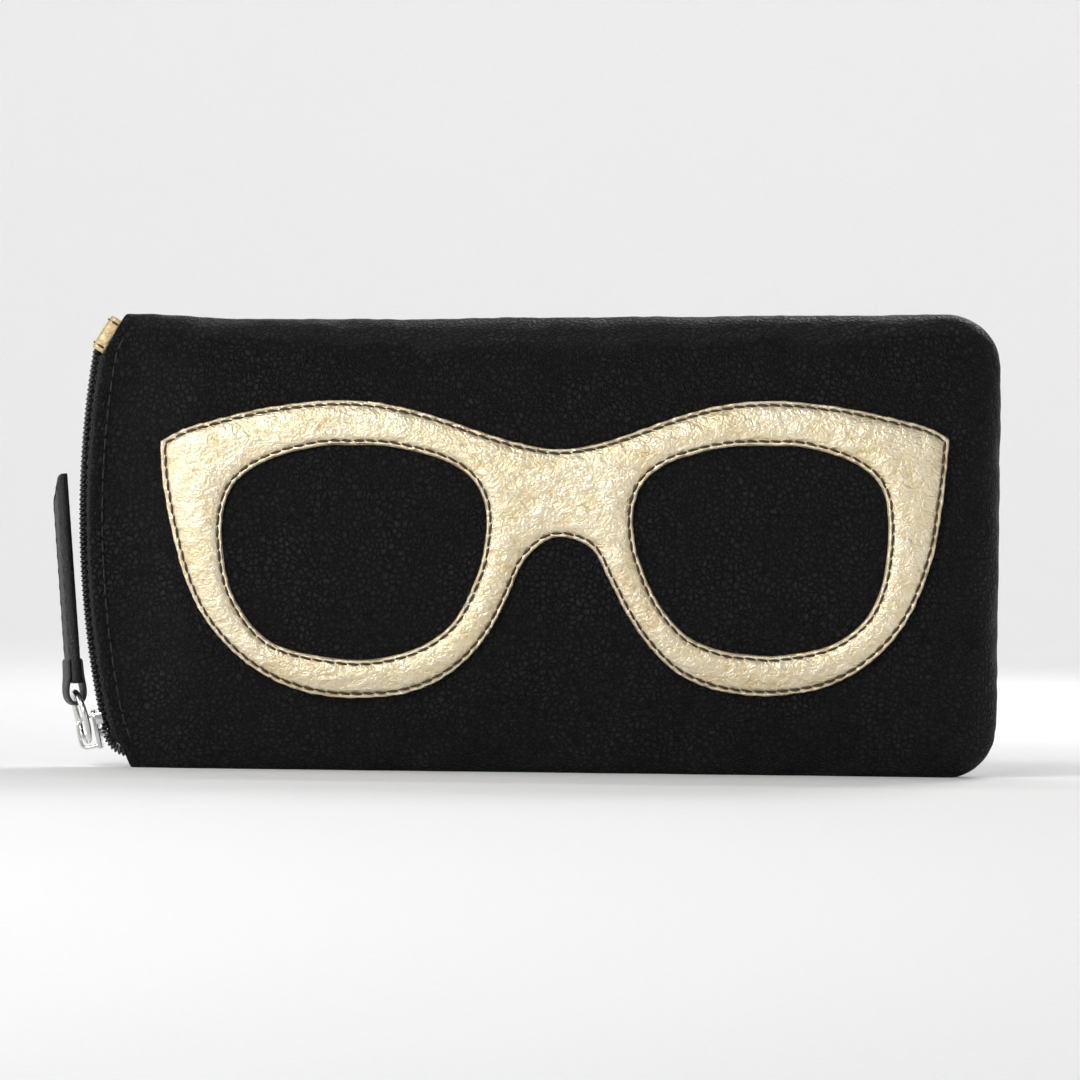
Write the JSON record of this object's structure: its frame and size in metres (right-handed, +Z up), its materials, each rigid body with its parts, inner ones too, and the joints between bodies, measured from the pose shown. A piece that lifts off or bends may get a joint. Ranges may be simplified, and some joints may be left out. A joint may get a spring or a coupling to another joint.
{
  "type": "zipped eyeglass case",
  "caption": "Padded leather eyeglass case that opens with a curved zip on one short end, with a spectacle-shaped applique on the front and a zipped slot pocket on the back.",
  "frame": {"origin": "centre of the flat strip along the long lower edge that the case rests on", "axes": "+X along the case from the zipped end to the closed end, front face with the applique towards -Y, +Z up"},
  "size_m": [0.1883, 0.03, 0.0917],
  "materials": {
    "black_leather": "pebbled, semi-matt",
    "gold_leather": "crinkled metallic",
    "foam": "open-cell foam board",
    "lining_fabric": "smooth woven lining",
    "zip_tape": "herringbone woven tape",
    "zip_coil": "nylon coil",
    "nickel": "polished nickel plate",
    "pull_gold": "metallic leather, stitched"
  },
  "bodies": {
    "case": {"front_panel": "black_leather", "back_panel": "black_leather", "front_padding": "foam", "back_padding": "foam", "front_lining": "lining_fabric", "back_lining": "lining_fabric", "divider": "lining_fabric", "pocket_bag_outer": "lining_fabric", "pocket_bag_inner": "lining_fabric", "glasses_applique": "gold_leather", "zip_end_tab": "gold_leather", "main_zip_stops": "nickel", "pocket_zip_stops": "nickel"},
    "main_zip_front": {"main_tape_front": "zip_tape", "main_coil_front": "zip_coil"},
    "main_zip_back": {"main_tape_back": "zip_tape", "main_coil_back": "zip_coil"},
    "main_slider": {"main_slider_body": "nickel", "main_slider_crown": "nickel"},
    "main_ring": {"main_pull_ring": "nickel"},
    "main_pull": {"main_pull_tab_black": "black_leather", "main_pull_tab_gold": "pull_gold"},
    "pocket_zip_upper": {"pocket_tape_upper": "zip_tape", "pocket_coil_upper": "zip_coil"},
    "pocket_zip_lower": {"pocket_tape_lower": "zip_tape", "pocket_coil_lower": "zip_coil"},
    "pocket_slider": {"pocket_slider_body": "nickel", "pocket_slider_crown": "nickel"},
    "pocket_ring": {"pocket_pull_ring": "nickel"},
    "pocket_pull": {"pocket_pull_tab_face": "pull_gold", "pocket_pull_tab_back": "pull_gold"}
  },
  "joints": [
    {"name": "main_slider_travel", "type": "hinge", "parent": "case", "child": "main_slider", "pos_m": [0.107, 0, 0.052], "axis": [0, 1, 0], "range_deg": [0, 20]},
    {"name": "main_zip_front_spread", "type": "slide", "parent": "case", "child": "main_zip_front", "axis": [0, -1, 0], "range_m": [0, 0.0034]},
    {"name": "main_zip_back_spread", "type": "slide", "parent": "case", "child": "main_zip_back", "axis": [0, 1, 0], "range_m": [0, 0.0034]},
    {"name": "main_ring_swing", "type": "hinge", "parent": "main_slider", "child": "main_ring", "pos_m": [-0.09061, 0, 0.00505], "axis": [0.2235, -0.9725, 0.0652], "range_deg": [0, 140]},
    {"name": "main_pull_swing", "type": "hinge", "parent": "main_ring", "child": "main_pull", "pos_m": [-0.09341, 0, 0.01465], "axis": [0.2235, -0.9725, 0.0652], "range_deg": [0, 50]},
    {"name": "pocket_slider_travel", "type": "slide", "parent": "case", "child": "pocket_slider", "axis": [0.9999, 0, 0.0112], "range_m": [0, 0.118]},
    {"name": "pocket_zip_upper_spread", "type": "slide", "parent": "case", "child": "pocket_zip_upper", "axis": [-0.011, 0.1908, 0.9816], "range_m": [0, 0.0015]},
    {"name": "pocket_zip_lower_spread", "type": "slide", "parent": "case", "child": "pocket_zip_lower", "axis": [0.011, -0.1908, -0.9816], "range_m": [0, 0.0015]},
    {"name": "pocket_ring_swing", "type": "hinge", "parent": "pocket_slider", "child": "pocket_ring", "pos_m": [-0.05439, 0.01306, 0.01455], "axis": [0.4598, 0.1685, 0.8719], "range_deg": [0, 120]},
    {"name": "pocket_pull_swing", "type": "hinge", "parent": "pocket_ring", "child": "pocket_pull", "pos_m": [-0.0459, 0.01315, 0.01248], "axis": [-0.011, 0.1908, 0.9816], "range_deg": [0, 50]}
  ],
  "couplings": [
    {"joint": "main_zip_front_spread", "follows": "main_slider_travel", "m_per_rad": 0.0097403},
    {"joint": "main_zip_back_spread", "follows": "main_slider_travel", "m_per_rad": 0.0097403},
    {"joint": "pocket_zip_upper_spread", "follows": "pocket_slider_travel", "ratio": 0.012712},
    {"joint": "pocket_zip_lower_spread", "follows": "pocket_slider_travel", "ratio": 0.012712}
  ]
}
